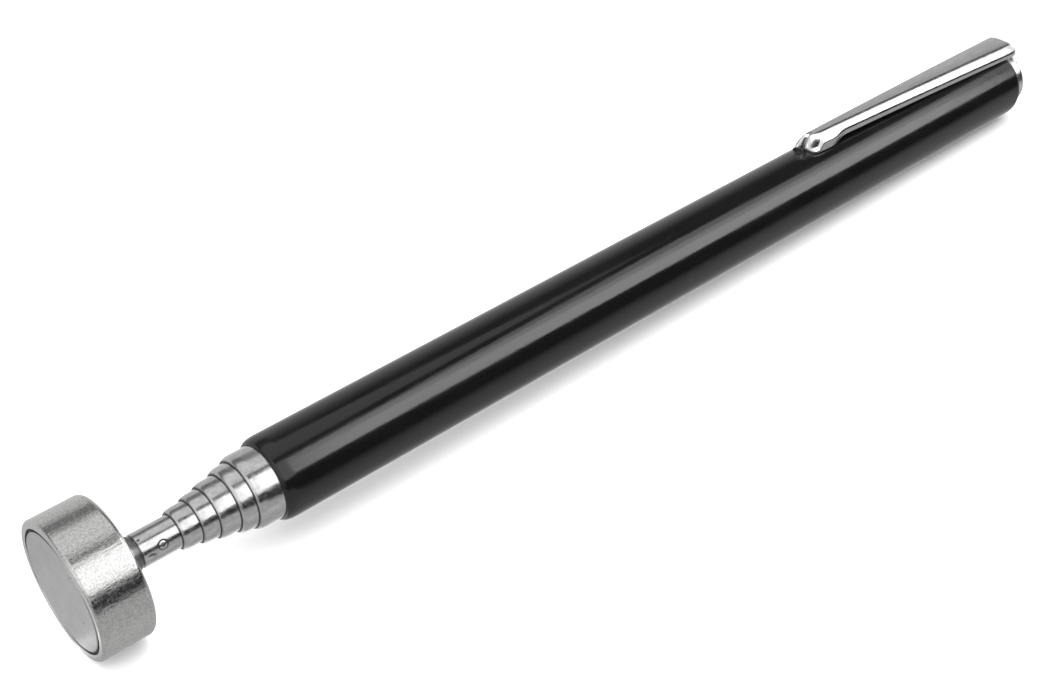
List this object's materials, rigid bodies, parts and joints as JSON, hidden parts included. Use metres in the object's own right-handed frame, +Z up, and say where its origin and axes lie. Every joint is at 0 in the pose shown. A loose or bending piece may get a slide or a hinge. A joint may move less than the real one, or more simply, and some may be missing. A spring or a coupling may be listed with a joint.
{
  "type": "magnetic pickup tool",
  "caption": "Pen-shaped telescoping magnetic pickup tool: black barrel with a chrome pocket clip, nested chrome tubes and a round pot-magnet head that picks up dropped steel parts.",
  "frame": {"origin": "centre of the magnet's working face, on the tool's common axis, with every tube pushed home", "axes": "+X along the tool's axis from the magnet face to the rear end of the barrel, +Z up through the pocket clip, +Y across, completing a right-handed frame"},
  "size_m": [0.1709, 0.0178, 0.0178],
  "materials": {
    "barrel_lacquer": "gloss black lacquer on a drawn tube",
    "plug_plastic": "moulded black plastic",
    "clip_chrome": "bright chrome on stamped steel",
    "stud_steel": "turned steel, bright zinc",
    "cup_nickel": "nickel plate over a grainy steel blank",
    "magnet_nickel": "satin nickel plate",
    "epoxy": "dark cured epoxy",
    "tube_chrome": "bright chrome on drawn brass",
    "bush_brass": "turned brass",
    "spring_bronze": "rolled phosphor bronze"
  },
  "bodies": {
    "barrel": {"barrel_tube": "barrel_lacquer", "end_plug": "plug_plastic", "clip_eye": "clip_chrome", "clip_rivet": "clip_chrome"},
    "clip": {"clip_arm": "clip_chrome"},
    "section_1": {"tube_1": "tube_chrome", "stop_bush_1": "bush_brass", "friction_spring_1": "spring_bronze"},
    "section_2": {"tube_2": "tube_chrome", "stop_bush_2": "bush_brass", "friction_spring_2": "spring_bronze"},
    "section_3": {"tube_3": "tube_chrome", "stop_bush_3": "bush_brass", "friction_spring_3": "spring_bronze"},
    "section_4": {"tube_4": "tube_chrome", "stop_bush_4": "bush_brass", "friction_spring_4": "spring_bronze"},
    "section_5": {"tube_5": "tube_chrome", "stop_bush_5": "bush_brass", "friction_spring_5": "spring_bronze"},
    "sleeve_6": {"friction_spring_6": "spring_bronze"},
    "head_section": {"tube_6": "tube_chrome", "stop_bush_6": "bush_brass", "head_stud": "stud_steel", "head_cup": "cup_nickel", "magnet_disc": "magnet_nickel", "magnet_glue": "epoxy"}
  },
  "joints": [
    {"name": "clip_flex", "type": "hinge", "parent": "barrel", "child": "clip", "pos_m": [0.17008, 0, 0.00486], "axis": [0, 1, 0], "range_deg": [0, 4], "stiffness_Nm_per_rad": 3, "springref_deg": -0.57},
    {"name": "section_1_slide", "type": "slide", "parent": "barrel", "child": "section_1", "axis": [-1, 0, 0], "range_m": [0, 0.1069]},
    {"name": "section_2_slide", "type": "slide", "parent": "section_1", "child": "section_2", "axis": [-1, 0, 0], "range_m": [0, 0.1105]},
    {"name": "section_3_slide", "type": "slide", "parent": "section_2", "child": "section_3", "axis": [-1, 0, 0], "range_m": [0, 0.1125]},
    {"name": "section_4_slide", "type": "slide", "parent": "section_3", "child": "section_4", "axis": [-1, 0, 0], "range_m": [0, 0.115]},
    {"name": "section_5_slide", "type": "slide", "parent": "section_4", "child": "section_5", "axis": [-1, 0, 0], "range_m": [0, 0.1171]},
    {"name": "section_6_slide", "type": "slide", "parent": "section_5", "child": "sleeve_6", "axis": [-1, 0, 0], "range_m": [0, 0.1195]},
    {"name": "head_spin", "type": "hinge", "parent": "sleeve_6", "child": "head_section", "pos_m": [0, 0, 0], "axis": [1, 0, 0], "continuous": true}
  ]
}
